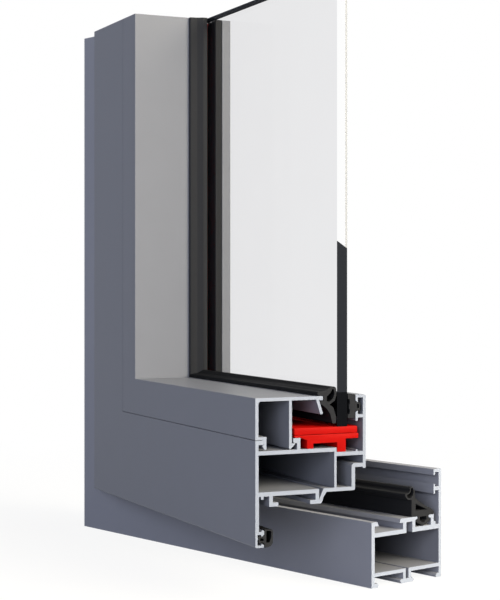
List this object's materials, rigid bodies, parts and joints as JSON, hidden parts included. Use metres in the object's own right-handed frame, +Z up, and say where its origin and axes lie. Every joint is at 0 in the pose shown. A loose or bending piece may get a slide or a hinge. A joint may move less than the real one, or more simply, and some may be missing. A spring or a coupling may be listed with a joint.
{
  "type": "window frame corner section",
  "caption": "Cut corner sample of an inward opening aluminium window: fixed frame with seal, hinged sash with snap-in bead, gaskets, setting packers and a single pane.",
  "frame": {"origin": "middle of the footprint of the whole sample with the sash 15 degrees open, on the floor under the sill's sole", "axes": "+X along the sill from the jamb to the cut end, +Y from the room side to the outside, +Z up along the jamb"},
  "size_m": [0.2362, 0.1076, 0.2725],
  "materials": {
    "profile_finish": "satin powder coat",
    "raw_aluminium": "mill",
    "gasket_rubber": "matte",
    "clear_glass": "clear",
    "red_plastic": "moulded"
  },
  "bodies": {
    "frame": {"frame_sill": "profile_finish", "frame_jamb": "profile_finish", "frame_corner_cleat": "raw_aluminium", "central_gasket_sill": "gasket_rubber", "central_gasket_jamb": "gasket_rubber", "hinge_frame_leaf": "profile_finish", "hinge_pin": "raw_aluminium"},
    "sash": {"sash_rail": "profile_finish", "sash_stile": "profile_finish", "sash_corner_cleat": "raw_aluminium", "bead_rail": "profile_finish", "bead_stile": "profile_finish", "inner_glazing_gasket_rail": "gasket_rubber", "inner_glazing_gasket_stile": "gasket_rubber", "outer_glazing_gasket_rail": "gasket_rubber", "outer_glazing_gasket_stile": "gasket_rubber", "overlap_gasket_rail": "gasket_rubber", "overlap_gasket_stile_lower": "gasket_rubber", "overlap_gasket_stile_upper": "gasket_rubber", "glass_pane": "clear_glass", "glass_bridge_rail": "red_plastic", "glass_packer_rail": "red_plastic", "glass_bridge_stile": "red_plastic", "glass_packer_stile": "red_plastic", "hinge_sash_leaf": "profile_finish"}
  },
  "joints": [
    {"name": "sash_swing", "type": "hinge", "parent": "frame", "child": "sash", "pos_m": [-0.09689, 0.00547, 0.13], "axis": [0, 0, -1], "range_deg": [-15, 75]}
  ]
}
